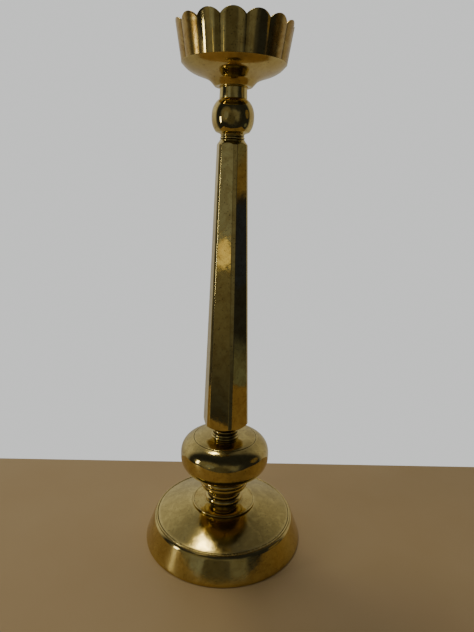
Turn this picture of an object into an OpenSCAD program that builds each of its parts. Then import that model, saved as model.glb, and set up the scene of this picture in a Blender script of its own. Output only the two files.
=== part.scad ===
// Altar candlestick: turned and cast brass pieces stacked on one tie rod.
// The foot stands on z = 0 and the tie rod runs up the Z axis.
// Every turned piece is a rotate_extrude of its half section, drawn from z = 0 at its own seat.

/* [Foot] */
// Outer radius of the foot where it stands
foot_r = 101; // [99:0.5:104]
// Height of the seat in the middle of the foot's top
foot_h = 48; // [47:0.5:50]
// Thickness of the cast wall of the foot
foot_wall = 3.5; // [3:0.25:4]

/* [Lower stem] */
// Radius of the disc that stands on the foot
flange_r = 40.2; // [39:0.1:41.5]
// Height of the flange piece, from the foot to the reeded collar
flange_h = 15; // [14.5:0.5:17]
// Radius of the reeded collar at its top
collar_r = 31; // [30.5:0.1:31.5]
// Height of the reeded collar
collar_h = 29.2; // [28.5:0.1:31]

/* [Knop] */
// Radius of the knop at its widest
knop_r = 55.9; // [54:0.1:58]
// Height of the knop above its widest circle
knop_up = 26.1; // [24:0.1:28]
// Height of the knop below its widest circle
knop_down = 24.8; // [23:0.1:27]
// Height of the beaded neck between the knop and the column
knop_neck_h = 15.9; // [15:0.1:18]

/* [Column] */
// Length of the six-sided column
column_h = 337.5; // [300:0.5:380]
// Corner radius of the column's hexagon at its lower end
column_r_low = 30.1; // [29.6:0.05:30.6]
// Corner radius of the column's hexagon at its upper end
column_r_high = 18.25; // [18:0.05:18.75]
// Turn of the column about Z, which sets where its faces look
column_turn = -18; // [-30:1:30]

/* [Ball and neck] */
// Height of the beaded neck on top of the column
column_neck_h = 7; // [6.5:0.1:8]
// Radius of the ball knop
ball_r = 23.1; // [22.5:0.1:24.5]
// Height of the ball knop between its two seats
ball_h = 35.7; // [34.5:0.1:36.5]
// Radius of the plain tube that carries the cup
tube_r = 14.8; // [14:0.1:15.2]
// Length of the plain tube
tube_h = 13.8; // [13.5:0.1:20]

/* [Cup] */
// Height of the dish from its seat on the tube to the foot of the gallery
dish_h = 20.6; // [20.3:0.1:22]
// Height of the scalloped gallery
gallery_h = 37.6; // [32:0.4:40]
// Number of lobes round the gallery
lobes = 15; // [14:1:16]
// Turn of the gallery about Z, which sets where its lobes look
gallery_turn = -2; // [-12:1:12]
// Crest radius of the gallery at its foot
gallery_r_low = 56.1; // [55.6:0.1:57]
// Crest radius of the gallery at its rim
gallery_r_high = 62.2; // [60.5:0.1:63]
// Depth of the scallops cut in the rim
scallop_depth = 5.7; // [4:0.1:7]
// Thickness of the gallery wall
gallery_wall = 2; // [1.6:0.1:2.4]

/* [Pricket] */
// Height of the pricket above its washer
pricket_h = 41; // [30:0.5:42]
// Radius of the pricket's collar
pricket_collar_r = 13; // [11:0.5:16]

/* [Tie rod and fastening] */
// Radius of the threaded tie rod
rod_r = 4; // [3.5:0.05:4.2]
// Thread pitch of the tie rod
pitch = 1.25; // [1:0.05:1.5]
// Width across flats of the base nut
nut_af = 13; // [12.5:0.5:15]
// Height of the base nut
nut_h = 6.5; // [5:0.1:7]
// Radius of the clamp plate under the foot's top
plate_r = 30; // [24:0.5:34]

/* [Hidden] */
$fn = 96;

// Fits
run_gap = 0.05;       // radial clearance of a running fit on the rod
spigot_gap = 0.05;    // radial clearance of the spigots that centre the stack
rod_hole_r = rod_r + run_gap;
clear_hole_r = rod_r + 0.5;

// Heights of the seats, from the floor up
z_flange = foot_h;
z_collar = z_flange + flange_h;
z_knop = z_collar + collar_h;
z_knop_neck = z_knop + knop_down + knop_up;
z_column = z_knop_neck + knop_neck_h;
z_column_neck = z_column + column_h;
z_ball = z_column_neck + column_neck_h;
z_tube = z_ball + ball_h;
z_dish = z_tube + tube_h;
z_gallery = z_dish + dish_h;

// Spigots that centre one piece in the next
foot_spigot_r = 10;
foot_spigot_h = 3;
collar_spigot_r = 16;
knop_spigot_r = 22;
neck_spigot_r = 9;
small_spigot_r = 8;
spigot_h = 3;

// Foot
foot_web = 3.5;               // thickness of the top at its seat
foot_seat_r = 42;
flank_tilt = 21;              // lean of the flank from upright
shoulder_tilt = 50;           // lean of the shoulder where it meets the bead
bead_r = foot_r - 14.15;      // radius of the bead round the plate
groove_z = 32.8;              // height of the groove inside the bead

// Fastening under the foot
plate_h = 3;
flat_washer_h = 1.6;
flat_washer_r = 12;
spring_washer_h = 2.2;
spring_washer_r = 7.4;
z_plate = foot_h - foot_web - plate_h;
z_flat_washer = z_plate - flat_washer_h;
z_spring_washer = z_flat_washer - spring_washer_h;
z_nut = z_spring_washer - nut_h;
rod_below_nut = 5 * pitch;
z_rod_low = z_nut - rod_below_nut;

// Cup and pricket
lobe_share = 0.55;            // radius of each lobe's curve as a part of the gallery's crest radius
floor_web = 9;                // thickness of the dish at the rod, above its seat
floor_r = 30.6;               // radius of the cup's flat floor
z_floor = z_dish + floor_web;
dish_wall = 2.2;
washer_h = 1.6;
washer_r = 17;
washer_seat_r = washer_r + 0.4;
washer_seat_h = 0.8;          // depth of the shallow seat turned for the captive washer
z_washer = z_floor - washer_seat_h;
lip_r = 9.2;                  // lip that keeps the captive washer on the pricket
lip_h = 0.9;
lip_neck_r = 8.4;
z_pricket = z_washer + washer_h;
rod_in_pricket = 8 * pitch;
z_rod_high = z_pricket + rod_in_pricket;
spike_r = 4.6;
spike_tip_r = 0.6;

// Points on an arc about [cx, cz], from angle a0 to angle a1
function arc(cx, cz, r, a0, a1, steps = 8) =
  [for (i = [0 : steps]) let (a = a0 + (a1 - a0) * i / steps) [cx + r * cos(a), cz + r * sin(a)]];

// Points on a quarter of a superellipse: rx and rz are its half axes and n its exponent
function super_arc(cx, cz, rx, rz, n, a0, a1, steps = 16) =
  [for (i = [0 : steps])
    let (a = a0 + (a1 - a0) * i / steps, c = abs(cos(a)), s = sin(a))
    [cx + rx * pow(c, 2 / n), cz + rz * sign(s) * pow(abs(s), 2 / n)]];

// One round bead of a turned moulding, bulging outward from radius r at height z
function bead(r, z, half_h, bulge, steps = 6) =
  [for (i = [0 : steps]) let (a = -90 + 180 * i / steps) [r + bulge * cos(a), z + half_h * sin(a)]];

module turned(points) {
  rotate_extrude($fn = 120) polygon(points);
}

// Hollow cast foot: leaning flank, rounded shoulder, bead, groove and a rising top plate
module base_shell() {
  toe_r = 10;
  toe_c = foot_r - toe_r;
  toe_z = 0.8;
  shoulder_r = 9;
  shoulder_c = foot_r - 18.3;
  shoulder_z = 25.1;
  plate_inner_z = 30.4;
  seat_z = foot_h - foot_web;
  outer = concat(
    [[foot_r - 0.5, 0], [foot_r - 0.1, 0.3]],
    arc(toe_c, toe_z, toe_r, 0, flank_tilt, 5),
    arc(shoulder_c, shoulder_z, shoulder_r, flank_tilt, shoulder_tilt, 6),
    [[bead_r + 0.75, groove_z - 0.35]],
    arc(bead_r, groove_z + 0.1, 0.95, 0, 180, 8),
    [[bead_r - 0.95, groove_z], [bead_r - 1.55, groove_z], [bead_r - 1.65, groove_z + 0.9]],
    [[foot_seat_r, foot_h]]
  );
  inner = concat(
    [[foot_spigot_r + spigot_gap, foot_h], [foot_spigot_r + spigot_gap, seat_z]],
    [[foot_seat_r - 1, seat_z], [bead_r - 2.85, plate_inner_z]],
    arc(shoulder_c, shoulder_z, shoulder_r - foot_wall, shoulder_tilt, flank_tilt, 4),
    arc(toe_c, toe_z, toe_r - foot_wall, flank_tilt, 0, 4),
    [[foot_r - foot_wall, 0]]
  );
  color("goldenrod") turned(concat(outer, inner));
}

// Stiff disc that spreads the nut's load over the underside of the foot
module clamp_plate() {
  color("dimgray") translate([0, 0, z_plate]) difference() {
    cylinder(r = plate_r, h = plate_h);
    translate([0, 0, -1]) cylinder(r = clear_hole_r, h = plate_h + 2);
  }
}

module flat_washer() {
  color("silver") translate([0, 0, z_flat_washer]) difference() {
    cylinder(r = flat_washer_r, h = flat_washer_h);
    translate([0, 0, -1]) cylinder(r = rod_hole_r, h = flat_washer_h + 2);
  }
}

// Split ring with a slanting cut
module spring_washer() {
  color("gray") translate([0, 0, z_spring_washer]) difference() {
    cylinder(r = spring_washer_r, h = spring_washer_h);
    translate([0, 0, -1]) cylinder(r = rod_hole_r, h = spring_washer_h + 2);
    translate([spring_washer_r - 2, 0, spring_washer_h / 2]) rotate([25, 0, 0])
      cube([6, 0.8, 8], center = true);
  }
}

// Hexagon nut with turned chamfers on both faces
module base_nut() {
  corner_r = nut_af / 2 / cos(30);
  color("silver") translate([0, 0, z_nut]) difference() {
    intersection() {
      cylinder(r = corner_r, h = nut_h, $fn = 6);
      turned([[0, 0], [nut_af / 2 - 0.2, 0], [corner_r + 0.1, 0.8], [corner_r + 0.1, nut_h - 0.8],
        [nut_af / 2 - 0.2, nut_h], [0, nut_h]]);
    }
    translate([0, 0, -1]) cylinder(r = rod_hole_r, h = nut_h + 2);
  }
}

// One rod from below the nut to inside the pricket, with chamfered ends
module tie_rod() {
  color("darkgray") turned([
    [0, z_rod_low], [rod_r - 0.8, z_rod_low], [rod_r, z_rod_low + 0.8],
    [rod_r, z_rod_high - 0.8], [rod_r - 0.8, z_rod_high], [0, z_rod_high]
  ]);
}

// Disc with a fine turned edge and a torus moulding on it
module stem_flange() {
  torus_r = 4.1;
  torus_c = 20.2;
  torus_z = 8;
  web = 6;
  outer = concat(
    [[foot_spigot_r, -foot_spigot_h], [foot_spigot_r, 0]],
    [[flange_r - 1.8, 0], [flange_r - 1.6, 0.6], [flange_r - 0.1, 0.9], [flange_r, 1.2]],
    [[flange_r, 2.2], [flange_r - 0.4, 2.6], [flange_r - 1.1, 2.6], [flange_r - 1.4, 2.3]],
    [[flange_r - 1.8, 2.6], [27, 3.4], [24.6, 3.9]],
    arc(torus_c, torus_z, torus_r, -50, 80, 12),
    [[20.4, 12.4], [20.4, flange_h]]
  );
  inner = [
    [collar_spigot_r + spigot_gap, flange_h], [collar_spigot_r + spigot_gap, web],
    [clear_hole_r, web], [clear_hole_r, -foot_spigot_h]
  ];
  color("goldenrod") translate([0, 0, z_flange]) turned(concat(outer, inner));
}

// Short stem: a flaring lower ring, two reeds above it and a plain collar under the knop
module reeded_collar() {
  bore_r = 13;
  outer = concat(
    [[collar_spigot_r, -spigot_h], [collar_spigot_r, 0], [20.4, 0], [20.6, 1.6], [22.8, 2.2]],
    arc(22.6, 14.2, 7.9, -62, 12, 8),
    [[29.6, 16.6]],
    bead(collar_r - 1.6, 19.5, 2.5, 1.5),
    [[29.2, 22.6]],
    [[collar_r - 0.6, 23.2], [collar_r, 23.8], [collar_r, collar_h - 0.6], [collar_r - 0.6, collar_h]],
    [[knop_spigot_r, collar_h], [knop_spigot_r, collar_h + spigot_h]]
  );
  inner = [[bore_r, collar_h + spigot_h], [bore_r, -spigot_h]];
  color("goldenrod") translate([0, 0, z_collar]) turned(concat(outer, inner));
}

// Hollow flattened ball with an incised line on its shoulder
module knop() {
  wall = 3;
  seat_wall = 4.5;
  height = knop_down + knop_up;
  line_r = 39.4;
  line_z = height - 2.8;
  color("darkgoldenrod") translate([0, 0, z_knop]) difference() {
    turned(knop_outline(0, 0));
    turned(knop_outline(wall, seat_wall));
    translate([0, 0, -1]) cylinder(r = knop_spigot_r + spigot_gap, h = 8);
    translate([0, 0, height - 6]) cylinder(r = neck_spigot_r + spigot_gap, h = 8);
    translate([0, 0, line_z]) rotate_extrude($fn = 120) translate([line_r, 0]) circle(r = 0.45, $fn = 16);
  }
}

// Half section of the knop: two quarter superellipses, shrunk by a wall for its hollow
function knop_outline(wall, seat_wall) =
  let (low_c = 24, high_c = 14, low_n = 2.47, high_n = 2.69)
  concat(
    [[0, seat_wall]],
    super_arc(low_c, knop_down, knop_r - low_c - wall, knop_down - seat_wall, low_n, -90, 0),
    super_arc(high_c, knop_down, knop_r - high_c - wall, knop_up - seat_wall, high_n, 4, 90),
    [[0, knop_down + knop_up - seat_wall]]
  );

// Spool with a flared foot and two fine beads
module knop_neck() {
  outer = concat(
    [[neck_spigot_r, -spigot_h], [neck_spigot_r, 0], [17.6, 0], [17.4, 0.6], [16.2, 1.6], [15.8, 2.3]],
    bead(15.8, 3.8, 1.1, 1),
    [[15.3, 5.4], [15.1, 6.8]],
    bead(15.3, 8.6, 1.3, 1.3),
    [[15, 10.4], [15.2, knop_neck_h], [neck_spigot_r, knop_neck_h]],
    [[neck_spigot_r, knop_neck_h + spigot_h]]
  );
  inner = [[clear_hole_r, knop_neck_h + spigot_h], [clear_hole_r, -spigot_h]];
  color("goldenrod") translate([0, 0, z_knop_neck]) turned(concat(outer, inner));
}

// Hollow tapered hexagon with narrow flats on its corners and turned ends
module column() {
  corner_depth = 1.25;     // depth of the flats cut on the corners
  web = 4;
  top = column_h;
  flat_low = (column_r_low - corner_depth) / cos(30);
  flat_high = (column_r_high - corner_depth) / cos(30);
  bore_low = 22.3;
  bore_high = 12.4;
  color("darkgoldenrod") translate([0, 0, z_column]) difference() {
    intersection() {
      rotate([0, 0, column_turn]) cylinder(r1 = column_r_low, r2 = column_r_high, h = top, $fn = 6);
      rotate([0, 0, column_turn + 30]) cylinder(r1 = flat_low, r2 = flat_high, h = top, $fn = 6);
      turned([[0, 0], [24.6, 0], [27.5, 2.2], [31, 5.4], [31, top - 24], [19.8, top - 6],
        [17, top - 3.7], [14, top], [0, top]]);
    }
    translate([0, 0, web]) cylinder(r1 = bore_low, r2 = bore_high, h = top - 2 * web);
    translate([0, 0, -1]) cylinder(r = neck_spigot_r + spigot_gap, h = web + 2);
    translate([0, 0, top - web - 1]) cylinder(r = small_spigot_r + spigot_gap, h = web + 2);
  }
}

// Small waisted spool with two beads between the column and the ball
module column_neck() {
  outer = concat(
    [[small_spigot_r, -spigot_h], [small_spigot_r, 0], [14, 0], [14, 0.6], [13.1, 1.4]],
    bead(12.7, 3, 1, 0.9),
    [[12.6, 4.5]],
    bead(12.6, 5.4, 0.6, 0.5),
    [[12.9, 6.3], [13.4, column_neck_h], [small_spigot_r, column_neck_h]],
    [[small_spigot_r, column_neck_h + spigot_h]]
  );
  inner = [[clear_hole_r, column_neck_h + spigot_h], [clear_hole_r, -spigot_h]];
  color("goldenrod") translate([0, 0, z_column_neck]) turned(concat(outer, inner));
}

// Hollow ball knop, a little squared, on a short hollow-curved foot
module ball_knop() {
  centre_z = 17.3;
  half_h = 22.3;
  n = 2.3;
  wall = 3.2;
  end_wall = 5;
  foot_top = 2.1;
  low_angle = asin(pow((centre_z - foot_top) / half_h, n / 2));
  high_angle = asin(pow((ball_h - centre_z) / half_h, n / 2));
  color("goldenrod") translate([0, 0, z_ball]) difference() {
    turned(concat(
      [[0, 0], [13.5, 0], [14.1, 0.4], [15.3, 0.9], [16.8, 1.4]],
      super_arc(0, centre_z, ball_r, half_h, n, -low_angle, high_angle, 28),
      [[0, ball_h]]));
    turned(concat(
      [[0, centre_z - half_h + end_wall]],
      super_arc(0, centre_z, ball_r - wall, half_h - end_wall, n, -88, 88, 24),
      [[0, centre_z + half_h - end_wall]]));
    translate([0, 0, -1]) cylinder(r = small_spigot_r + spigot_gap, h = 10);
    translate([0, 0, ball_h - 9]) cylinder(r = small_spigot_r + spigot_gap, h = 10);
  }
}

// Plain tube with a spigot down into the ball
module neck_tube() {
  outer = [
    [small_spigot_r, -spigot_h], [small_spigot_r, 0], [tube_r + 0.3, 0], [tube_r, 6],
    [tube_r, tube_h - 0.4], [tube_r - 0.4, tube_h]
  ];
  bore_r = 6;
  inner = [[bore_r, tube_h], [bore_r, -spigot_h]];
  color("goldenrod") translate([0, 0, z_tube]) turned(concat(outer, inner));
}

// Turned dish: sweeping underside with a plain skirt over the tube, flat floor with a washer seat,
// rim for the gallery
module cup_dish() {
  skirt_r = tube_r + 0.3;
  skirt_h = 2.1;
  counterbore_r = lip_r + 0.3;
  seat_z = floor_web - washer_seat_h;
  counterbore_z = seat_z - lip_h - 0.3;
  rim_r = gallery_r_low;
  outer = concat(
    [[rod_hole_r, 0], [skirt_r, 0], [skirt_r, -skirt_h], [19.7, -skirt_h], [20.3, -1.8]],
    [[20.9, -1.1], [22.1, 0.2], [23.9, 2.2], [26.4, 4.4], [30, 6.2], [34, 7.8], [38, 9.1]],
    [[42, 10.5], [46, 12.3], [50, 14.7], [rim_r - 3.1, 17.4], [rim_r - 0.8, dish_h - 0.7], [rim_r, dish_h]]
  );
  inner = concat(
    [[rim_r - dish_wall - 2.2, dish_h], [50.4, 18.2], [46, 15], [42, 13], [38, 11.6], [34, 10.2]],
    [[floor_r, floor_web], [washer_seat_r, floor_web], [washer_seat_r, seat_z]],
    [[counterbore_r, seat_z], [counterbore_r, counterbore_z], [rod_hole_r, counterbore_z]]
  );
  color("goldenrod") translate([0, 0, z_dish]) turned(concat(outer, inner));
}

// Flared wall of round lobes, each rising to an arc at the rim.
// Four rings of points: the outer foot, the outer rim, the inner rim and the inner foot.
module cup_gallery() {
  steps = 12;
  count = lobes * steps;
  half_angle = 180 / lobes;
  half_chord = (gallery_r_high - 1.4) * sin(half_angle);
  scallop_r = (half_chord * half_chord + scallop_depth * scallop_depth) / (2 * scallop_depth);
  turn_of = [for (i = [0 : count - 1]) 360 * i / count - half_angle - 90];
  offset_of = [for (i = [0 : count - 1]) half_angle * (2 * (i % steps) / steps - 1)];
  foot_z = [for (i = [0 : count - 1]) 0];
  rim_z = [for (phi = offset_of) let (x = half_chord * phi / half_angle)
    gallery_h - scallop_r + sqrt(scallop_r * scallop_r - x * x)];
  function ring(z_of, wall) = [for (i = [0 : count - 1])
    let (crest = gallery_r_low + (gallery_r_high - gallery_r_low) * z_of[i] / gallery_h,
      r = lobe_radius(crest, wall, offset_of[i]))
    [r * cos(turn_of[i]), r * sin(turn_of[i]), z_of[i]]];
  points = concat(ring(foot_z, 0), ring(rim_z, 0), ring(rim_z, gallery_wall), ring(foot_z, gallery_wall));
  faces = [for (band = [0 : 3]) for (i = [0 : count - 1])
    let (j = (i + 1) % count, low = band * count, high = ((band + 1) % 4) * count)
    each [[low + i, high + i, low + j], [low + j, high + i, high + j]]];
  color("goldenrod") translate([0, 0, z_gallery]) rotate([0, 0, gallery_turn])
    polyhedron(points = points, faces = faces);
}

// Radius of the lobed wall at angle phi from a lobe's crest, a wall's depth inside its skin
function lobe_radius(crest, wall, phi) =
  let (r = lobe_share * crest, c = crest - r, q = r - wall)
  c * cos(phi) + sqrt(q * q - c * c * sin(phi) * sin(phi));

// Captive washer under the pricket's collar
module pricket_washer() {
  color("darkgoldenrod") translate([0, 0, z_washer]) difference() {
    cylinder(r = washer_r, h = washer_h);
    translate([0, 0, -1]) cylinder(r = lip_neck_r + run_gap, h = washer_h + 2);
  }
}

// Spike on a round collar, threaded on the rod's end, with a lip that keeps its washer
module pricket() {
  thread_depth = rod_in_pricket + 2;
  neck_z = -washer_h - lip_h - 0.1;
  outer = [
    [rod_hole_r, neck_z], [lip_r, neck_z], [lip_r, neck_z + lip_h],
    [lip_neck_r, neck_z + lip_h], [lip_neck_r, 0],
    [pricket_collar_r, 0], [pricket_collar_r, 3.4], [pricket_collar_r - 1, 4.2], [7.4, 5.2],
    [6.6, 9], [6.6, thread_depth + 1.5], [spike_r, thread_depth + 3],
    [spike_tip_r, pricket_h], [0, pricket_h],
    [0, thread_depth], [rod_hole_r, thread_depth - 1.6]
  ];
  color("goldenrod") translate([0, 0, z_pricket]) turned(outer);
}

base_shell();
clamp_plate();
flat_washer();
spring_washer();
base_nut();
tie_rod();
stem_flange();
reeded_collar();
knop();
knop_neck();
column();
column_neck();
ball_knop();
neck_tube();
cup_dish();
cup_gallery();
pricket_washer();
pricket();
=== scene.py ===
import math

import bmesh
import bpy
import numpy as np
from mathutils import Matrix, Vector


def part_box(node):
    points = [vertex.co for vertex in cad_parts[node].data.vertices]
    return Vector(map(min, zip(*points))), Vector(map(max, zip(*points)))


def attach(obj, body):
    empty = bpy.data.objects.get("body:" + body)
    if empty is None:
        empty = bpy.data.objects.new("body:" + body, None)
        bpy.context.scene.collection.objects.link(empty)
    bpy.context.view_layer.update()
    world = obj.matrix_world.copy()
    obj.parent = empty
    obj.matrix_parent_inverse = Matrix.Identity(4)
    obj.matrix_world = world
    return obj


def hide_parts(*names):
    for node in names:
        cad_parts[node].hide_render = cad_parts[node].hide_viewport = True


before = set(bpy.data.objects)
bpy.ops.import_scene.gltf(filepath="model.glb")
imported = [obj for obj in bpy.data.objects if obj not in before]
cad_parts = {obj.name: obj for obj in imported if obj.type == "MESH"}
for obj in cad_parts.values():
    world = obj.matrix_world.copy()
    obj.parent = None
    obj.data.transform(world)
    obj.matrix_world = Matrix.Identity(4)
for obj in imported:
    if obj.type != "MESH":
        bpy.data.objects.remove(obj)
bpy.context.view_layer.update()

# An altar candlestick: a hollow foot, turned brass and a six-sided column stacked on a tie rod, and
# a lobed cup with a pricket. It stands on the floor at the origin, with the camera at its -Y side.
# Outlines and heights are in mm, meshes and the scene in metres. The profiles are those of the
# CAD part with finer edges.

MM = 0.001
SHARP = math.radians(34)    # edges that bend more than this are shaded as corners
HEX_SIDE = math.pi / 3      # the angle that one side of a hexagon spans


# ---------------------------------------------------------------- heights, in mm, from the frame

def low(node):
    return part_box(node)[0].z / MM


def high(node):
    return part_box(node)[1].z / MM


Z_FLANGE = high("base_shell")
Z_COLLAR = high("stem_flange")
Z_KNOP = low("knop")
Z_KNOP_NECK = high("knop")
Z_COLUMN = low("column")
Z_COLUMN_NECK = high("column")
Z_BALL = low("ball_knop")
Z_TUBE = high("ball_knop")
Z_DISH = high("neck_tube")
Z_GALLERY = low("cup_gallery")
Z_RIM = high("cup_gallery")
Z_PRICKET = high("pricket_washer")
FOOT_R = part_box("base_shell")[1].x / MM
KNOP_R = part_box("knop")[1].x / MM
BALL_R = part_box("ball_knop")[1].x / MM
COLLAR_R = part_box("reeded_collar")[1].x / MM
FLANGE_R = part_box("stem_flange")[1].x / MM
ROD_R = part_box("tie_rod")[1].x / MM
PITCH = 1.25
CLEAR_R = ROD_R + 0.5       # bores of the stacked pieces
RUN_R = ROD_R + 0.05        # bores of the pieces that turn on the rod
SPIGOT = 3                  # how far a piece reaches into its neighbour


# ---------------------------------------------------------------- outlines: (radius, height) in mm

def arc(cx, cz, r, a0, a1, steps):
    """Part of a circle, from one angle to another in degrees."""
    angles = np.radians(np.linspace(a0, a1, steps + 1))
    return [(cx + r * math.cos(a), cz + r * math.sin(a)) for a in angles]


def super_arc(cx, cz, rx, rz, n, a0, a1, steps):
    """Part of a superellipse with half axes rx, rz and exponent n, its angles in degrees."""
    points = []
    for a in np.radians(np.linspace(a0, a1, steps + 1)):
        c, s = abs(math.cos(a)), math.sin(a)
        points.append((cx + rx * c ** (2 / n), cz + rz * math.copysign(abs(s) ** (2 / n), s)))
    return points


def bead(r, z, half_h, bulge, steps=12):
    """A round bead that bulges outward from radius r."""
    angles = np.radians(np.linspace(-90, 90, steps + 1))
    return [(r + bulge * math.cos(a), z + half_h * math.sin(a)) for a in angles]


def shifted(points, dz):
    return [(r, z + dz) for r, z in points]


def rounded(points, radius, steps=4, least=0.25, share=0.42):
    """The closed outline with an arc for each corner that turns by more than least radians. An
    arc takes up no more than a share of the sides it joins, and points on the axis stay."""
    made = []
    count = len(points)
    for i in range(count):
        before = np.array(points[i - 1], float)
        here = np.array(points[i], float)
        after = np.array(points[(i + 1) % count], float)
        u, v = before - here, after - here
        lu, lv = np.linalg.norm(u), np.linalg.norm(v)
        if lu < 1e-6 or lv < 1e-6:
            continue
        u, v = u / lu, v / lv
        inside = math.acos(float(np.clip(np.dot(u, v), -1, 1)))
        if math.pi - inside < least or here[0] < 0.01:
            made.append(tuple(here))
            continue
        reach = min(radius / math.tan(inside / 2), share * lu, share * lv)
        r = reach * math.tan(inside / 2)
        middle = here + (u + v) / np.linalg.norm(u + v) * r / math.sin(inside / 2)
        start, end = here + u * reach - middle, here + v * reach - middle
        sweep = math.pi - inside
        for k in range(steps + 1):
            t = k / steps
            p = (math.sin((1 - t) * sweep) * start + math.sin(t * sweep) * end) / math.sin(sweep)
            made.append(tuple(middle + p))
    return made


def wear(points, span=1.0, full=0.35):
    """For each point of a closed outline, how hollow and how proud the surface is there, 0 to 1.
    It is judged from a chord that reaches a span each way, and full is the bend that counts as 1."""
    p = np.array(points, float)
    step = np.linalg.norm(np.roll(p, -1, 0) - p, axis=1)
    along = np.concatenate([[0], np.cumsum(step)])
    total = along[-1]
    loop = np.vstack([p, p[:1]])

    def at(s):
        s = np.mod(s, total)
        return np.stack([np.interp(s, along, loop[:, k]) for k in (0, 1)], 1)

    s = along[:-1]
    back, ahead = at(s - span), at(s + span)
    chord = ahead - back
    normal = np.stack([chord[:, 1], -chord[:, 0]], 1)
    normal /= np.maximum(np.linalg.norm(normal, axis=1, keepdims=True), 1e-9)
    area = 0.5 * np.sum(p[:, 0] * np.roll(p[:, 1], -1) - np.roll(p[:, 0], -1) * p[:, 1])
    proud = np.sum((p - (back + ahead) / 2) * normal, axis=1) * np.sign(area) / span
    return np.clip(-proud / full, 0, 1), np.clip(proud / full, 0, 1)


# ---------------------------------------------------------------- meshes

def ring_mesh(name, rows, angles, hollow=None, proud=None, closed=True):
    """A mesh of rings about Z. Each row is (radius, height), one value or one for each angle."""
    count = len(angles)
    cos, sin = np.cos(angles), np.sin(angles)
    verts = np.zeros((len(rows), count, 3))
    for i, (r, z) in enumerate(rows):
        verts[i, :, 0] = r * cos
        verts[i, :, 1] = r * sin
        verts[i, :, 2] = z
    last = len(rows) if closed else len(rows) - 1
    faces = []
    for i in range(last):
        a, b = i * count, ((i + 1) % len(rows)) * count
        for j in range(count):
            k = (j + 1) % count
            faces.append((a + j, a + k, b + k, b + j))
    mesh = bpy.data.meshes.new(name)
    mesh.from_pydata((verts.reshape(-1, 3) * MM).tolist(), [], faces)
    for key, values in (("hollow", hollow), ("proud", proud)):
        layer = mesh.attributes.new(key, "FLOAT", "POINT")
        if values is not None:
            values = np.asarray(values, float)
            if values.ndim == 1:
                values = np.repeat(values[:, None], count, 1)
            layer.data.foreach_set("value", values.reshape(-1).astype(np.float32))
    return finish_mesh(mesh)


def finish_mesh(mesh):
    """Merges what meets at a pole, points the faces outward and marks the sharp edges."""
    bm = bmesh.new()
    bm.from_mesh(mesh)
    bmesh.ops.remove_doubles(bm, verts=bm.verts, dist=1e-7)
    bmesh.ops.dissolve_degenerate(bm, edges=bm.edges, dist=1e-8)
    bmesh.ops.recalc_face_normals(bm, faces=bm.faces)
    bm.to_mesh(mesh)
    bm.free()
    mesh.shade_smooth()
    mesh.set_sharp_from_angle(angle=SHARP)
    return mesh


def full_turn(count):
    return np.arange(count) * 2 * math.pi / count


def eased_turn(sides, per_side, ease, start):
    """Angles of a full turn that gather at the ends of its equal sides, and those of one side."""
    side = 2 * math.pi / sides
    t = np.arange(per_side) / per_side
    inside = (t - ease * np.sin(2 * math.pi * t) / (2 * math.pi)) * side
    return np.concatenate([start + k * side + inside for k in range(sides)]), inside


def piece(name, mesh, node, body, material):
    """Puts a mesh in the scene as the piece that stands for a CAD node."""
    made = bpy.data.objects.new(name, mesh)
    bpy.context.scene.collection.objects.link(made)
    mesh.materials.append(material)
    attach(made, body)
    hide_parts(node)


def lathe(name, points, base, node, body, material, round_to=0.4, segments=192):
    """A turned piece: a closed outline above a base height, swept round Z, its corners eased."""
    points = rounded(shifted(points, base), round_to)
    hollow, proud = wear(points)
    mesh = ring_mesh(name, points, full_turn(segments), hollow, proud)
    piece(name, mesh, node, body, material)


def soft_min(a, b, k):
    """The lesser of two values, blended where they differ by less than k."""
    h = np.maximum(k - np.abs(a - b), 0) / k
    return np.minimum(a, b) - h * h * k / 4


# ---------------------------------------------------------------- materials

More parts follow.
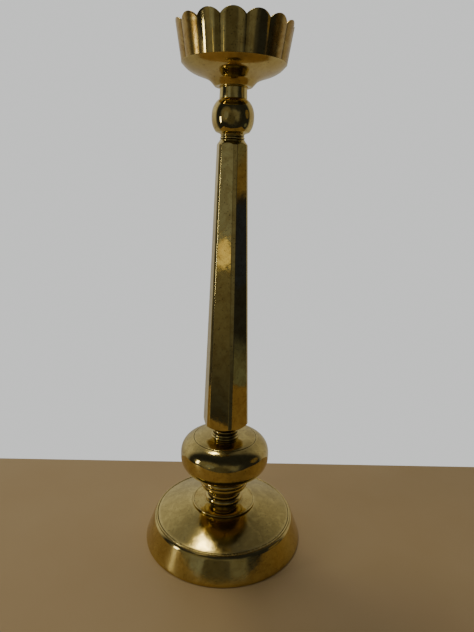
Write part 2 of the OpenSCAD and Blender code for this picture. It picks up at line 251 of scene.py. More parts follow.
class Nodes:
    """A short way to write a node tree."""

    def __init__(self, data, shader="Principled BSDF", coords="Object"):
        self.data = data
        self.data.use_nodes = True
        self.tree = data.node_tree
        self.shader = self.tree.nodes[shader]
        self.coords = self.tree.nodes.new("ShaderNodeTexCoord").outputs[coords]

    def add(self, kind, **values):
        node = self.tree.nodes.new(kind)
        for key, value in values.items():
            setattr(node, key, value)
        return node

    def link(self, source, socket):
        """Joins a node's output to an input, or sets the input to a number or a colour."""
        if isinstance(source, (int, float, tuple)):
            socket.default_value = source
        else:
            self.tree.links.new(source, socket)

    def maths(self, operation, a, b=0.0, clamp=False):
        node = self.add("ShaderNodeMath", operation=operation, use_clamp=clamp)
        self.link(a, node.inputs[0])
        self.link(b, node.inputs[1])
        return node.outputs[0]

    def plus(self, value, source, share):
        """The value, and a share of the source on top."""
        return self.maths("ADD", value, self.maths("MULTIPLY", source, share))

    def stretched(self, scale):
        """The object's coordinates, scaled by (x, y, z)."""
        node = self.add("ShaderNodeMapping")
        self.link(self.coords, node.inputs["Vector"])
        node.inputs["Scale"].default_value = scale
        return node.outputs["Vector"]

    def noise(self, scale, detail=3.0, rough=0.55, warp=0.0, coords=None):
        """Fractal noise, 0 to 1."""
        node = self.add("ShaderNodeTexNoise")
        self.link(coords or self.coords, node.inputs["Vector"])
        node.inputs["Scale"].default_value = scale
        node.inputs["Detail"].default_value = detail
        node.inputs["Roughness"].default_value = rough
        node.inputs["Distortion"].default_value = warp
        return node.outputs["Fac"]

    def between(self, value, low_in, high_in, low_out=0.0, high_out=1.0):
        """The value carried smoothly from one range to another, and held at its ends."""
        node = self.add("ShaderNodeMapRange", clamp=True, interpolation_type="SMOOTHSTEP")
        self.link(value, node.inputs["Value"])
        node.inputs["From Min"].default_value = low_in
        node.inputs["From Max"].default_value = high_in
        node.inputs["To Min"].default_value = low_out
        node.inputs["To Max"].default_value = high_out
        return node.outputs["Result"]

    def mix(self, amount, a, b):
        node = self.add("ShaderNodeMix", data_type="RGBA", clamp_factor=True)
        self.link(amount, node.inputs[0])
        self.link(a, node.inputs[6])
        self.link(b, node.inputs[7])
        return node.outputs[2]

    def attribute(self, name):
        return self.add("ShaderNodeAttribute", attribute_name=name).outputs["Fac"]

    def along(self, axis):
        """One part of the coordinates: "X", "Y" or "Z"."""
        split = self.add("ShaderNodeSeparateXYZ")
        self.link(self.coords, split.inputs[0])
        return split.outputs[axis]

    def bump(self, height, strength, distance, before=None):
        node = self.add("ShaderNodeBump")
        node.inputs["Strength"].default_value = strength
        node.inputs["Distance"].default_value = distance
        self.link(height, node.inputs["Height"])
        if before is not None:
            self.link(before, node.inputs["Normal"])
        return node.outputs["Normal"]


BRASS = (0.67, 0.535, 0.20, 1)
BRASS_WORN = (0.80, 0.66, 0.28, 1)
BRASS_BROWN = (0.36, 0.215, 0.05, 1)
BRASS_KHAKI = (0.42, 0.335, 0.125, 1)
GRIME = (0.030, 0.020, 0.008, 1)
WORN_SHARE = 0.55           # of the rubbed edges' colour
GRIME_SHARE = 0.93          # of the grime in the creases
STEEL_WORN = (0.75, 0.75, 0.73, 1)
RUST = (0.16, 0.065, 0.025, 1)
TURNING_SCALE = 420         # of the turning marks, as the wave texture counts them


def brass(name, tarnish, smooth, marks=1.0, waves=1.0, tint=BRASS, plate=None, satin=None):
    """Aged polished brass. tarnish is how dull and mottled it is, smooth its least roughness,
    marks the strength of the turning marks, waves that of its slow unevenness. plate is a pair
    of heights in mm between which the tarnish grows to full, and satin a pair of places along Y
    in mm between which the polish gives way to satin."""
    n = Nodes(bpy.data.materials.new(name))
    clouds = n.noise(26, 5, 0.62, 0.5)
    blots = n.noise(85, 6, 0.7, 0.9)
    fine = n.noise(900, 3, 0.6)
    specks = n.noise(620, 2, 0.5)
    hollow = n.attribute("hollow")
    proud = n.attribute("proud")
    dull = n.between(clouds, 0.40, 0.68, 0.0, tarnish)
    if plate:
        rise = n.between(n.along("Z"), plate[0] * MM, plate[1] * MM)
        patchy = n.between(blots, 0.30, 0.62, 0.3, 0.85)
        dull = n.maths("MAXIMUM", dull, n.maths("MULTIPLY", rise, patchy))
    worn = n.between(n.along("Y"), satin[0] * MM, satin[1] * MM) if satin else 0.0
    crease = n.maths("MULTIPLY", hollow, n.between(blots, 0.2, 0.7, 0.7, 1.3))

    brown = n.maths("ADD", n.between(blots, 0.35, 0.70, 0.0, 0.55), n.maths("MULTIPLY", worn, 0.6),
                    clamp=True)
    colour = n.mix(brown, tint, BRASS_BROWN)
    colour = n.mix(n.maths("MULTIPLY", dull, 0.85), colour, BRASS_KHAKI)
    colour = n.mix(n.between(specks, 0.635, 0.70, 0.0, 0.7), colour, GRIME)
    colour = n.mix(n.maths("MULTIPLY", proud, WORN_SHARE), colour, BRASS_WORN)
    colour = n.mix(n.between(crease, 0.15, 0.9, 0.0, GRIME_SHARE), colour, GRIME)
    n.link(colour, n.shader.inputs["Base Color"])
    n.link(1.0, n.shader.inputs["Metallic"])

    rough = n.plus(smooth, dull, 0.11)
    rough = n.maths("ADD", rough, n.between(blots, 0.45, 0.75, 0.0, 0.05))
    rough = n.plus(rough, hollow, 0.25)
    rough = n.plus(rough, worn, 0.17)
    rough = n.plus(rough, proud, 0.12)
    rough = n.maths("ADD", rough, n.between(fine, 0.3, 0.8, -0.015, 0.03), clamp=True)
    n.link(rough, n.shader.inputs["Roughness"])

    turning = n.add("ShaderNodeTexWave", wave_type="BANDS", bands_direction="Z", wave_profile="SIN")
    n.link(n.coords, turning.inputs["Vector"])
    turning.inputs["Scale"].default_value = TURNING_SCALE
    turning.inputs["Distortion"].default_value = 2.2
    turning.inputs["Detail"].default_value = 2
    turning.inputs["Detail Scale"].default_value = 0.4
    slow = n.noise(48, 2, 0.45, coords=n.stretched((1, 1, 0.6)))
    normal = n.bump(slow, 0.35 * waves, 0.00055)
    normal = n.bump(n.noise(170, 2, 0.5), 0.30 * waves, 0.00008, normal)
    normal = n.bump(turning.outputs["Fac"], 0.05 * marks, 0.00004, normal)
    normal = n.bump(blots, 0.10, 0.00012, normal)
    normal = n.bump(fine, 0.06, 0.00005, normal)
    n.link(normal, n.shader.inputs["Normal"])
    return n.data


def steel(name, tint, smooth, rust=0.0, brushed=0.0):
    """Plain, plated or blackened steel with stains, fine scratches and a little rust."""
    n = Nodes(bpy.data.materials.new(name))
    clouds = n.noise(120, 5, 0.6, 0.4)
    fine = n.noise(1400, 3, 0.6)
    scratches = n.noise(260, 4, 0.7, coords=n.stretched((9, 0.7, 5)))
    dark = tuple(c * 0.55 for c in tint[:3]) + (1,)
    colour = n.mix(n.between(clouds, 0.35, 0.7, 0.0, 0.8), tint, dark)
    colour = n.mix(n.maths("MULTIPLY", n.attribute("proud"), 0.4), colour, STEEL_WORN)
    stain = n.maths("ADD", n.between(clouds, 0.52, 0.66, 0.0, rust), n.attribute("hollow"),
                    clamp=True)
    colour = n.mix(n.maths("MULTIPLY", stain, min(1.0, 0.25 + rust)), colour, RUST)
    n.link(colour, n.shader.inputs["Base Color"])
    metal = n.maths("SUBTRACT", 1.0, n.maths("MULTIPLY", stain, 0.8 * rust))
    n.link(metal, n.shader.inputs["Metallic"])
    rough = n.maths("ADD", smooth, n.between(clouds, 0.3, 0.75, 0.0, 0.25))
    rough = n.maths("ADD", rough, n.between(scratches, 0.5, 0.7, 0.0, 0.15 * brushed), clamp=True)
    n.link(rough, n.shader.inputs["Roughness"])
    normal = n.bump(scratches, 0.08 + 0.25 * brushed, 0.00006)
    normal = n.bump(fine, 0.12 + 0.3 * rust, 0.00008, normal)
    n.link(normal, n.shader.inputs["Normal"])
    return n.data


FOOT_BRASS = brass("foot_brass", tarnish=0.40, smooth=0.06, waves=1.2, plate=(31.5, 34.5))
TURNED_BRASS = brass("turned_brass", tarnish=0.12, smooth=0.035, waves=0.6)
KNOP_BRASS = brass("knop_brass", tarnish=0.30, smooth=0.07, waves=1.1,
                   plate=(Z_KNOP + 31.8, Z_KNOP + 48.8))
COLUMN_BRASS = brass("column_brass", tarnish=0.12, smooth=0.035, marks=0.0, waves=0.7)
BALL_BRASS = brass("ball_brass", tarnish=0.10, smooth=0.045)
CUP_BRASS = brass("cup_brass", tarnish=0.35, smooth=0.10, marks=1.2, tint=(0.53, 0.385, 0.125, 1))
GALLERY_BRASS = brass("gallery_brass", tarnish=0.15, smooth=0.06, marks=0.0, waves=1.1,
                      satin=(-50, -46))
PRICKET_BRASS = brass("pricket_brass", tarnish=0.6, smooth=0.2, marks=1.6)
ROD_STEEL = steel("rod_steel", (0.40, 0.39, 0.37, 1), 0.30, rust=0.45)
ZINC_STEEL = steel("zinc_steel", (0.60, 0.61, 0.60, 1), 0.22, rust=0.12, brushed=0.6)
SPRING_STEEL = steel("spring_steel", (0.10, 0.10, 0.10, 1), 0.32, rust=0.2)
PLATE_IRON = steel("plate_iron", (0.13, 0.12, 0.11, 1), 0.45, rust=0.7)


# ---------------------------------------------------------------- foot and fastening

def foot():
    """Hollow foot: leaning flank, rounded shoulder, bead, groove and a rising plate."""
    toe_c, toe_z, toe_r = FOOT_R - 10, 0.8, 10
    shoulder_c, shoulder_z, shoulder_r = FOOT_R - 18.3, 25.1, 9
    flank, shoulder_end, wall = 21, 50, 3.5
    bead_c, bead_r, groove_z = FOOT_R - 14.15, 0.95, 32.8
    plate_r, plate_z, flat_r, swell = bead_c - 1.65, groove_z + 0.9, 42, 0.05
    bore, seat = 10.05, Z_FLANGE - 3.5
    outer = [(FOOT_R - 0.5, 0), (FOOT_R - 0.1, 0.3)]
    outer += arc(toe_c, toe_z, toe_r, 0, flank, 10)
    outer += arc(shoulder_c, shoulder_z, shoulder_r, flank, shoulder_end, 14)
    outer += [(bead_c + 0.8, groove_z - 0.5)]
    outer += arc(bead_c, groove_z + 0.1, bead_r, -10, 170, 16)
    outer += [(bead_c - bead_r, groove_z), (bead_c - 1.5, groove_z), (plate_r, plate_z)]
    for t in np.linspace(0, 1, 14)[1:]:
        rise = (Z_FLANGE - plate_z) * (t + swell * t * (1 - t))
        outer.append((plate_r + (flat_r - plate_r) * t, plate_z + rise))
    inner = [(bore, Z_FLANGE), (bore, seat), (flat_r - 1, seat), (bead_c - 2.85, 30.4)]
    inner += arc(shoulder_c, shoulder_z, shoulder_r - wall, shoulder_end, flank, 8)
    inner += arc(toe_c, toe_z, toe_r - wall, flank, 0, 8)
    inner += [(FOOT_R - wall, 0)]
    lathe("foot", outer + inner, 0, "base_shell", "stand", FOOT_BRASS, 0.3, 288)


def plain_ring(name, node, body, material, r_in, segments=128, round_to=0.25):
    """A flat ring that fills its CAD node's height and radius."""
    bottom, top = low(node), high(node)
    r_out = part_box(node)[1].x / MM
    outline = [(r_in, bottom), (r_out, bottom), (r_out, top), (r_in, top)]
    lathe(name, outline, 0, node, body, material, round_to, segments)


def spring_ring():
    """Split washer: a square wire ring, cut on a slant."""
    node = "spring_washer"
    bottom, top = low(node), high(node)
    r_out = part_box(node)[1].y / MM
    section = rounded([(RUN_R, bottom), (r_out, bottom), (r_out, top), (RUN_R, top)], 0.3)
    count, half_gap, lean = 120, 0.075, 0.16
    middle = (bottom + top) / 2
    slant = [lean * (z - middle) / (top - bottom) for _, z in section]
    verts, faces = [], []
    for j in range(count):
        turn = half_gap + (2 * math.pi - 2 * half_gap) * j / (count - 1)
        for (r, z), skew in zip(section, slant):
            angle = turn + skew
            verts.append((r * math.cos(angle) * MM, r * math.sin(angle) * MM, z * MM))
    m = len(section)
    for j in range(count - 1):
        for i in range(m):
            k = (i + 1) % m
            faces.append((j * m + i, j * m + k, (j + 1) * m + k, (j + 1) * m + i))
    faces.append(tuple(range(m)))
    faces.append(tuple((count - 1) * m + i for i in range(m)))
    mesh = bpy.data.meshes.new(node)
    mesh.from_pydata(verts, [], faces)
    for key in ("hollow", "proud"):
        mesh.attributes.new(key, "FLOAT", "POINT")
    piece("split_washer", finish_mesh(mesh), node, "washers_body", SPRING_STEEL)


def hex_nut():
    """Hexagon nut whose corners are cut by a cone on both faces."""
    node = "base_nut"
    bottom, top = low(node), high(node)
    half_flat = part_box(node)[1].y / MM
    chamfer, cone, entry, arris = 0.35, 30, 0.55, 0.12
    corner_cut, blend = 0.1, 0.25
    angles = full_turn(216)
    to_face = np.mod(angles, HEX_SIDE) - HEX_SIDE / 2
    corner = half_flat / math.cos(HEX_SIDE / 2) - corner_cut
    hexagon = half_flat / np.cos(to_face)
    hexagon = soft_min(hexagon, np.full_like(hexagon, corner), blend)
    face_r = half_flat - chamfer
    drop = (hexagon - face_r) * math.tan(math.radians(cone))
    rows = [(RUN_R, bottom + entry), (RUN_R + entry, bottom), (face_r, bottom)]
    rows += [(hexagon, bottom + drop), (hexagon, (bottom + top) / 2), (hexagon, top - drop)]
    rows += [(face_r, top), (RUN_R + entry, top), (RUN_R, top - entry)]
    near_corner = np.clip(1 - (HEX_SIDE / 2 - np.abs(to_face)) / arris, 0, 1)
    plain = np.zeros_like(angles)
    proud = np.array([plain] * 3 + [near_corner] * 3 + [plain] * 3)
    mesh = ring_mesh("hex_nut", rows, angles, None, proud)
    piece("hex_nut", mesh, node, "nut_body", ZINC_STEEL)


def threaded_rod():
    """Tie rod: a right-hand thread on its lower end, plain above."""
    node = "tie_rod"
    bottom, top = low(node), high(node)
    depth, threaded, lead_in, point, chamfer = 0.68, 34.0, 0.9, 0.75, 0.8
    flank, crest_flat, grime = 1.25, 0.12, 0.8
    angles = full_turn(64)
    plain = np.zeros(len(angles))
    rows, hollow = [(0.0, bottom)], [plain]
    for z in np.arange(bottom, bottom + threaded, PITCH / 10):
        phase = np.mod(z / PITCH - angles / (2 * math.pi), 1)
        cut = np.clip(flank * (1 - 2 * np.abs(phase - 0.5)) - crest_flat, 0, 1)
        end = min(1.0, (z - bottom) / lead_in)
        rows.append((ROD_R - point * (1 - end) - depth * cut * end, z))
        hollow.append(cut * grime)
    rows += [(ROD_R, bottom + threaded + 1), (ROD_R, top - chamfer), (ROD_R - chamfer, top)]
    rows += [(0.0, top)]
    hollow += [plain] * 4
    mesh = ring_mesh("threaded_rod", rows, angles, np.array(hollow), None, closed=False)
    piece("threaded_rod", mesh, node, "stand", ROD_STEEL)


# ---------------------------------------------------------------- lower stem and knop

def flange():
    """Disc with a fine turned edge, a low rise and a torus moulding."""
    edge, bore, length = FLANGE_R, 16.05, 15
    outer = [(10, -SPIGOT), (10, 0), (edge - 1.8, 0), (edge - 1.5, 0.65), (edge - 0.15, 0.9)]
    outer += [(edge, 1.3), (edge, 2.1), (edge - 0.4, 2.6), (edge - 1.1, 2.6)]
    outer += [(edge - 1.45, 2.25), (edge - 1.9, 2.6), (33, 2.95), (27, 3.4), (24.8, 3.8)]
    outer += [(23.7, 4.3)] + arc(20.2, 8, 4.1, -50, 78, 22) + [(20.6, 12.5), (20.4, length)]
    inner = [(bore, length), (bore, 6), (CLEAR_R, 6), (CLEAR_R, -SPIGOT)]
    lathe("flange", outer + inner, Z_FLANGE,
          "stem_flange", "stand", TURNED_BRASS, 0.3)


def collar():
    """A flaring lower ring, two reeds and a plain collar under the knop."""
    height = Z_KNOP - Z_COLLAR
    top_r = COLLAR_R
    outer = [(16, -SPIGOT), (16, 0), (20.4, 0), (20.6, 1.6), (22.8, 2.2)]
    outer += arc(22.6, 14.2, 7.9, -62, 12, 16)
    outer += [(29.6, 16.6)]
    outer += bead(top_r - 1.6, 19.5, 2.5, 1.5)
    outer += [(29.2, 22.6), (top_r - 0.6, 23.2), (top_r, 23.8), (top_r, height - 0.7)]
    outer += [(top_r - 0.6, height), (22, height), (22, height + SPIGOT)]
    inner = [(13, height + SPIGOT), (13, -SPIGOT)]
    lathe("collar", outer + inner, Z_COLLAR,
          "reeded_collar", "stand", TURNED_BRASS, 0.35)


def knop():
    """Flattened ball with an incised line on its shoulder, hollow inside."""
    height = Z_KNOP_NECK - Z_KNOP
    down = 24.8
    up = height - down
    low_c, high_c, low_n, high_n = 24, 14, 2.47, 2.69
    wall, seat_wall = 3, 4.5
    low_bore, high_bore = 22.05, 9.05
    line_r, line_w, line_depth = 39.4, 0.55, 0.5
    reach = 2.5 * line_w

    shoulder = super_arc(high_c, down, KNOP_R - high_c, up, high_n, 1, 89.5, 90)
    line = []
    for r in np.linspace(line_r + 2.4 * line_w, line_r - 2.4 * line_w, 16):
        c = ((r - high_c) / (KNOP_R - high_c)) ** (high_n / 2)
        z = down + up * math.sqrt(max(0, 1 - c * c)) ** (2 / high_n)
        off = (r - line_r) / line_w
        line.append((r, z - line_depth * math.exp(-off * off * 2)))

    outer = [(low_bore, 0)] + super_arc(low_c, down, KNOP_R - low_c, down, low_n, -89.5, 0, 60)
    outer += [(r, z) for r, z in shoulder if r > line_r + reach] + line
    outer += [(r, z) for r, z in shoulder if r < line_r - reach]
    inner = [(high_bore, height), (high_bore, height - seat_wall)]
    inner += super_arc(high_c, down, KNOP_R - high_c - wall, up - seat_wall, high_n, 88, 4, 20)
    inner += super_arc(low_c, down, KNOP_R - low_c - wall, down - seat_wall, low_n, 0, -88, 20)
    inner += [(low_bore, seat_wall)]
    lathe("knop_shell", outer + inner, Z_KNOP,
          "knop", "stand", KNOP_BRASS, 0.3, 256)


def knop_spool():
    """Spool with a flared foot and two fine beads."""
    height = Z_COLUMN - Z_KNOP_NECK
    outer = [(9, -SPIGOT), (9, 0), (17.6, 0), (17.4, 0.6), (16.2, 1.6), (15.8, 2.3)]
    outer += bead(15.8, 3.8, 1.1, 1)
    outer += [(15.3, 5.4), (15.1, 6.8)]
    outer += bead(15.3, 8.6, 1.3, 1.3)
    outer += [(15, 10.4), (15.2, height), (9, height), (9, height + SPIGOT)]
    inner = [(CLEAR_R, height + SPIGOT), (CLEAR_R, -SPIGOT)]
    lathe("knop_spool", outer + inner, Z_KNOP_NECK,
          "knop_neck", "stand", TURNED_BRASS, 0.25)


# ---------------------------------------------------------------- column

def column():
    """Tapered hexagon with narrow flats on its corners and turned ends that arch its faces."""
    height = Z_COLUMN_NECK - Z_COLUMN
    corner_low, corner_high, corner_depth = 30.1, 18.25, 1.25
    turn = math.radians(-18)
    arris_at, arris_w = 1.73 * corner_depth, 0.6
    angles, _ = eased_turn(6, 44, 0.75, turn)
    to_corner = np.mod(angles - turn + HEX_SIDE / 2, HEX_SIDE) - HEX_SIDE / 2
    to_face = np.mod(angles - turn, HEX_SIDE) - HEX_SIDE / 2
    turned = [(0, 24.6), (2.2, 27.5), (5.4, 31), (height - 24, 31), (height - 6, 19.8)]
    turned += [(height - 3.7, 17), (height, 14)]
    turned_z, turned_r = zip(*turned)
    heights = np.concatenate([np.arange(0, 15, 0.3), np.linspace(15, height - 25, 60),
                              np.arange(height - 24.7, height, 0.3), [height]])
    rows, proud = [], []
    for z in heights:
        corner = corner_low + (corner_high - corner_low) * z / height
        faces = corner * math.cos(HEX_SIDE / 2) / np.cos(to_face)
        flats = (corner - corner_depth) / np.cos(to_corner)
        r = soft_min(soft_min(faces, flats, 0.2), np.interp(z, turned_z, turned_r), 0.5)
        rows.append((r, Z_COLUMN + z))
        off = np.abs(np.abs(to_corner) * corner - arris_at)
        proud.append(np.clip(1 - off / arris_w, 0, 1))
    ends = [(8.05, height), (8.05, height - 4), (12.4, height - 4), (22.3, 4), (9.05, 4), (9.05, 0)]
    for r, z in ends:
        rows.append((r, Z_COLUMN + z))
        proud.append(np.zeros(len(angles)))
    mesh = ring_mesh("column_shaft", rows, angles, None, np.array(proud))
    piece("column_shaft", mesh, "column", "stand", COLUMN_BRASS)


# ---------------------------------------------------------------- ball, neck and cup

def column_spool():
    """Small waisted spool with two beads between the column and the ball."""
    height = Z_BALL - Z_COLUMN_NECK
    outer = [(8, -SPIGOT), (8, 0), (14, 0), (14, 0.6), (13.1, 1.4)]
    outer += bead(12.7, 3, 1, 0.9)
    outer += [(12.6, 4.5)]
    outer += bead(12.6, 5.4, 0.6, 0.5)
    outer += [(12.9, 6.3), (13.4, height), (8, height), (8, height + SPIGOT)]
    inner = [(CLEAR_R, height + SPIGOT), (CLEAR_R, -SPIGOT)]
    lathe("column_spool", outer + inner, Z_COLUMN_NECK,
          "column_neck", "stand", TURNED_BRASS, 0.2)


def ball():
    """Hollow ball knop, a little squared, on a short hollow-curved foot."""
    height = Z_TUBE - Z_BALL
    centre, half, n, wall, end_wall, bore = 17.3, 22.3, 2.3, 3.2, 5, 8.05
    low_angle, high_angle = (math.degrees(math.asin((reach / half) ** (n / 2)))
                             for reach in (centre - 2.1, height - centre))
    outer = [(bore, 0), (13.5, 0), (14.1, 0.4), (15.3, 0.9), (16.8, 1.4)]
    outer += super_arc(0, centre, BALL_R, half, n, -low_angle, high_angle, 120)
    outer += [(bore, height)]
    cavity = super_arc(0, centre, BALL_R - wall, half - end_wall, n, 88, -88, 48)
    inner = [(bore, height - 4)] + [p for p in cavity if p[0] > bore] + [(bore, 4)]
    lathe("ball", outer + inner, Z_BALL, "ball_knop", "stand", BALL_BRASS, 0.25)


def tube():
    """Plain tube that carries the cup."""
    height = Z_DISH - Z_TUBE
    outer = [(8, -SPIGOT), (8, 0), (15.1, 0), (14.8, 6), (14.8, height - 0.4), (14.4, height)]
    inner = [(6, height), (6, -SPIGOT)]
    lathe("tube", outer + inner, Z_TUBE,
          "neck_tube", "stand", TURNED_BRASS, 0.2)


def dish():
    """Sweeping underside, plain skirt over the tube, flat floor with a seat for the washer. Its
    corners are eased as far as their sides allow, which makes the sweep a smooth curve."""
    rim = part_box("cup_dish")[1].x / MM
    height = Z_GALLERY - Z_DISH
    seat = low("pricket_washer") - Z_DISH
    floor_z, relief = seat + 0.8, seat - 1.2
    outer = [(RUN_R, 0), (15.1, 0), (15.1, -2.1), (19.7, -2.1), (20.3, -1.8), (20.9, -1.1)]
    outer += [(22.1, 0.2), (23.9, 2.2), (26.4, 4.4), (30, 6.2), (34, 7.8), (38, 9.1), (42, 10.5)]
    outer += [(46, 12.3), (50, 14.7), (53, 17.4), (rim - 0.8, height - 0.7), (rim, height)]
    inner = [(rim - 4.4, height), (50.4, 18.2), (46, 15), (42, 13), (38, 11.6), (34, 10.2)]
    inner += [(30.6, floor_z), (17.4, floor_z), (17.4, seat), (9.5, seat), (9.5, relief)]
    inner += [(RUN_R, relief)]
    lathe("dish", outer + inner, Z_DISH, "cup_dish", "cup", CUP_BRASS, 14, 256)


def gallery():
    """Flared wall of round lobes, each rising to an arc at the rim."""
    lobes, turn = 15, math.radians(-2)
    half = math.pi / lobes
    height = Z_RIM - Z_GALLERY
    crest_low, crest_high, wall = 56.1, 62.2, 2.0
    scallop, scallop_inset = 5.7, 1.4
    lobe_share, edge, cusp_w = 0.55, 0.45, 0.018
    angles, inside = eased_turn(lobes, 28, 0.6, turn - math.pi / 2 - half)
    phi = np.tile(inside - half, lobes)
    chord = (crest_high - scallop_inset) * math.sin(half)
    scallop_r = (chord * chord + scallop * scallop) / (2 * scallop)
    x = chord * phi / half
    rim = height - scallop_r + np.sqrt(scallop_r * scallop_r - x * x)
    cusp = np.clip(1 - (half - np.abs(phi)) / cusp_w, 0, 1)
    rows, hollow, proud = [], [], []

    def add(z, inset, dip=0.0, pride=0.0):
        """A ring of the wall at a height, set in from its outer skin."""
        crest = crest_low + (crest_high - crest_low) * z / height
        r = lobe_share * crest
        c, q = crest - r, r - inset
        skin = c * np.cos(phi) + np.sqrt(q * q - (c * np.sin(phi)) ** 2)
        rows.append((skin, Z_GALLERY + z))
        hollow.append(np.zeros_like(phi) + dip)
        proud.append(np.zeros_like(phi) + pride)

    for s in np.linspace(0, 1, 26):
        add(s * (rim - edge), 0.0, dip=cusp * 0.75)
    for a in np.radians([30, 60, 90]):
        add(rim - edge + edge * math.sin(a), edge * (1 - math.cos(a)), pride=0.35)
    for a in np.radians([90, 60, 30, 0]):
        add(rim - edge + edge * math.sin(a), wall - edge * (1 - math.cos(a)), pride=0.35)
    for s in np.linspace(1, 0, 14)[1:]:
        add(s * (rim - edge), wall)
    mesh = ring_mesh("gallery", rows, angles, np.array(hollow), np.array(proud))
    piece("gallery", mesh, "cup_gallery", "cup", GALLERY_BRASS)


def spike():
    """Pricket: a spike on a round collar, with the lip that holds its washer."""
    top = high("pricket") - Z_PRICKET
    washer = Z_PRICKET - low("pricket_washer")
    lip, lip_top = -washer - 1.0, -washer - 0.1
    outline = [(RUN_R, lip), (9.2, lip), (9.2, lip_top), (8.4, lip_top), (8.4, 0), (13, 0)]
    outline += [(13, 3.4), (12, 4.2), (9.2, 4.5), (7.4, 5.4), (6.6, 9), (6.6, 13.5), (4.6, 15)]
    outline += [(0.7, top - 0.5), (0.35, top - 0.1), (0.0, top), (0.0, 12), (RUN_R, 10.4)]
    lathe("spike", outline, Z_PRICKET,
          "pricket", "pricket_body", PRICKET_BRASS, 0.35, 96)


foot()
plain_ring("load_plate", "clamp_plate", "stand", PLATE_IRON, CLEAR_R, 160, 0.4)
plain_ring("plain_washer", "flat_washer", "washers_body", ZINC_STEEL, RUN_R)
spring_ring()
hex_nut()
threaded_rod()
flange()
collar()
knop()
knop_spool()
column()
column_spool()
ball()
tube()
dish()
gallery()
plain_ring("captive_washer", "pricket_washer", "pricket_washer_body", CUP_BRASS,
           8.45, 128, 0.3)
spike()


# ---------------------------------------------------------------- stage, light and camera

FLOOR_X, FLOOR_FRONT, FLOOR_BACK = 0.6, -0.34, 0.17
FLOOR_DARK = (0.60, 0.41, 0.20, 1)
FLOOR_PALE = (0.66, 0.48, 0.26, 1)
SIDES = (0.022, 0.024, 0.030, 1)
ROOM = (0.14, 0.14, 0.12, 1)
WALL_LOW = (0.36, 0.34, 0.29, 1)
WALL_HIGH = (0.62, 0.61, 0.56, 1)
WALL_RIGHT = (0.40, 0.38, 0.33, 1)
BACKDROP = (0.82, 0.83, 0.82, 1)

# What the brass reflects of the room, each patch over the ones before it: the turn and rise of its
# middle and the radii where it is full and where it ends, in degrees, then its shade. A turn of
# 270 is straight to the front, 232 is to the front left and 352 to the right.
PATCHES = (
    (232, 10, 16, 34, (0.17, 0.16, 0.12, 1)),
    (258, -10, 12, 30, (0.078, 0.074, 0.056, 1)),
    (234, 6, 9, 13, (0.20, 0.215, 0.21, 1)),
    (233.7, -4.9, 1.45, 1.75, (0.88, 0.74, 0.38, 1)),
    (352, 12, 11, 12.4, (0.16, 0.12, 0.06, 1)),
    (353, 7.4, 3.2, 4.6, (0.13, 0.13, 0.10, 1)),
    (354, -4.6, 4.2, 5.0, (0.020, 0.026, 0.055, 1)),
    (352, -24, 6, 10, (0.11, 0.12, 0.10, 1)),
)

CAMERA_AT = (-0.00123, -0.5902, 0.458)
CAMERA_LENS, CAMERA_SENSOR = 29.17, 36
CAMERA_PITCH, CAMERA_YAW, CAMERA_ROLL = 15.093, 1.159, 1.676


def heading(turn, rise):
    """The unit vector at a turn from +X and a rise, in degrees."""
    t, r = math.radians(turn), math.radians(rise)
    return math.cos(t) * math.cos(r), math.sin(t) * math.cos(r), math.sin(r)


def floor():
    """Plain tan shelf top that the foot stands on."""
    mesh = bpy.data.meshes.new("floor")
    corners = [(-FLOOR_X, FLOOR_FRONT, 0), (FLOOR_X, FLOOR_FRONT, 0),
               (FLOOR_X, FLOOR_BACK, 0), (-FLOOR_X, FLOOR_BACK, 0)]
    mesh.from_pydata(corners, [], [(0, 1, 2, 3)])
    made = bpy.data.objects.new("floor", mesh)
    bpy.context.scene.collection.objects.link(made)
    n = Nodes(bpy.data.materials.new("pale_floor"))
    n.link(n.mix(n.noise(9, 3, 0.5), FLOOR_DARK, FLOOR_PALE), n.shader.inputs["Base Color"])
    n.link(0.5, n.shader.inputs["Roughness"])
    mesh.materials.append(n.data)


def lamp(name, at, target, wide, long, power, tint):
    """A soft rectangular lamp that looks at a point."""
    data = bpy.data.lights.new(name, "AREA")
    data.shape = "RECTANGLE"
    data.size = wide
    data.size_y = long
    data.energy = power
    data.color = tint
    made = bpy.data.objects.new(name, data)
    made.location = at
    made.rotation_euler = (Vector(target) - Vector(at)).to_track_quat("-Z", "Y").to_euler()
    bpy.context.scene.collection.objects.link(made)


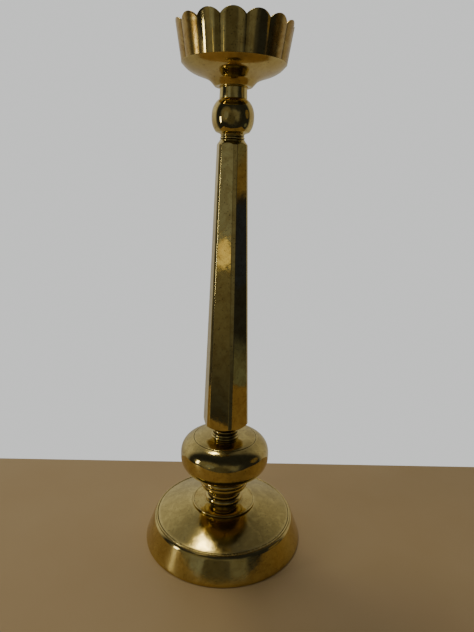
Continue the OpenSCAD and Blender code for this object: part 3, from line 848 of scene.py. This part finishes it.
def studio():
    """Pale wall behind, a dim khaki room in front, dark sides, patches on them, and two lamps."""
    world = bpy.data.worlds.new("studio")
    bpy.context.scene.world = world
    n = Nodes(world, "Background", "Generated")
    across, height = n.along("Y"), n.along("Z")

    front = n.between(across, -0.97, -0.62, 1.0, 0.0)
    level = n.between(n.maths("ABSOLUTE", n.maths("SUBTRACT", height, 0.08)), 0.10, 0.5, 1.0, 0.2)
    blurs = n.between(n.noise(2.6, 2, 0.5), 0.36, 0.64, 0.25, 1.4)
    room = n.maths("MULTIPLY", n.maths("MULTIPLY", front, level), blurs)
    colour = n.mix(room, SIDES, ROOM)
    for turn, rise, full, end, shade in PATCHES:
        dot = n.add("ShaderNodeVectorMath", operation="DOT_PRODUCT")
        n.link(n.coords, dot.inputs[0])
        dot.inputs[1].default_value = heading(turn, rise)
        near = n.between(dot.outputs["Value"],
                         math.cos(math.radians(end)), math.cos(math.radians(full)))
        colour = n.mix(near, colour, shade)

    back = n.between(across, 0.04, 0.36)
    overhead = n.between(height, 0.45, 0.9, 1.0, 0.35)
    pale = n.mix(n.between(height, -0.35, 0.4), WALL_LOW, WALL_HIGH)
    pale = n.mix(n.between(n.along("X"), -0.6, 0.5), pale, WALL_RIGHT)
    colour = n.mix(n.maths("MULTIPLY", back, overhead), colour, pale)
    path = n.add("ShaderNodeLightPath")
    seen = n.mix(path.outputs["Is Camera Ray"], colour, BACKDROP)
    n.link(seen, n.shader.inputs["Color"])
    n.link(1.0, n.shader.inputs["Strength"])
    lamp("window", (-1.34, -0.52, 0.34), (0, 0, 0.34), 0.16, 0.5, 2.6, (1.0, 0.98, 0.84))
    lamp("ceiling", (-0.33, 0.50, 1.95), (0, 0, 0.1), 0.55, 0.26, 7.0, (1.0, 0.91, 0.64))


def camera():
    """The viewing angle: a little above the middle, looking down at the foot."""
    data = bpy.data.cameras.new("camera")
    data.sensor_fit = "AUTO"
    data.sensor_width = CAMERA_SENSOR
    data.lens = CAMERA_LENS
    data.clip_start, data.clip_end = 0.01, 50
    ahead = Vector(heading(90 - CAMERA_YAW, -CAMERA_PITCH))
    side = Vector(heading(-CAMERA_YAW, 0))
    above = side.cross(ahead)
    roll = math.radians(CAMERA_ROLL)
    right = side * math.cos(roll) + above * math.sin(roll)
    up = above * math.cos(roll) - side * math.sin(roll)
    made = bpy.data.objects.new("camera", data)
    basis = Matrix((right, up, -ahead)).transposed().to_4x4()
    made.matrix_world = Matrix.Translation(CAMERA_AT) @ basis
    made.matrix_world = Matrix.Translation((-0.00123, -0.5902, 0.458)) @ basis
    bpy.context.scene.collection.objects.link(made)
    bpy.context.scene.camera = made


floor()
studio()
camera()
